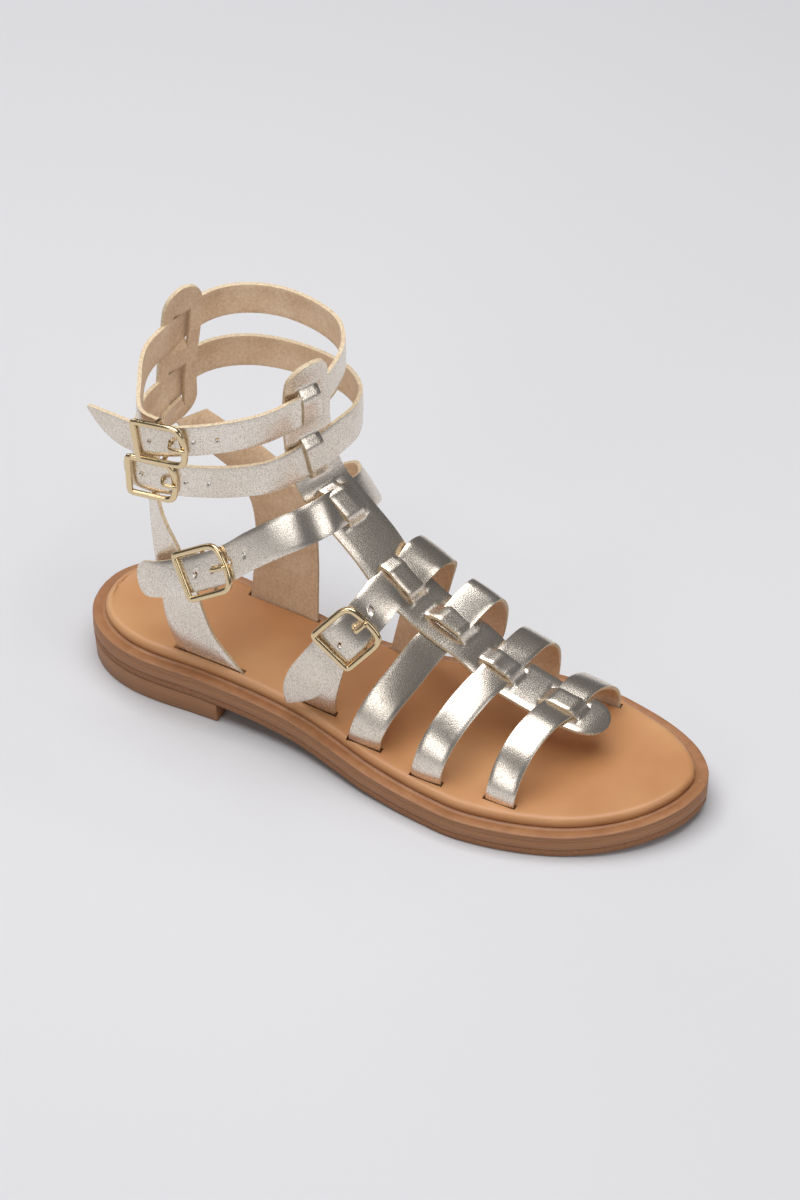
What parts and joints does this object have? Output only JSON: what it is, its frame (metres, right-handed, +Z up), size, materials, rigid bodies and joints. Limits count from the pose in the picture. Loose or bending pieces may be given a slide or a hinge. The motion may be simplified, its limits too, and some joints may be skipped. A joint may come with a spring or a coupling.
{
  "type": "gladiator sandal",
  "caption": "Flat gladiator sandal for the right foot, foil leather straps woven over a T-strap and buckled round the ankle, on a padded footbed and stacked sole.",
  "frame": {"origin": "On the ground plane under the middle of the sandal's bounding box: the sole stands on z = 0, x = 0 is the middle of its width and y = 0 the middle of its length.", "axes": "+Y runs from the heel to the toe, +X points to the outer (little-toe) side of this right shoe, +Z is up out of the collar."},
  "size_m": [0.0905, 0.25, 0.1695],
  "materials": {
    "straps": "metallic foil, crackled",
    "footbed": "smooth, semi-matte",
    "sole_edge": "stacked, satin",
    "outsole": "matte, fine grain",
    "buckles": "pale gilt, polished"
  },
  "bodies": {
    "root": {"outsole": "outsole", "midsole": "sole_edge", "heel": "sole_edge", "footbed": "footbed", "upper": "straps", "instep_stay": "straps", "buckle_instep": "buckles", "prong_instep": "buckles", "buckle_lower_ankle": "buckles", "prong_lower_ankle": "buckles", "buckle_middle_ankle": "buckles", "prong_middle_ankle": "buckles", "buckle_top_ankle": "buckles", "prong_top_ankle": "buckles"}
  },
  "joints": []
}
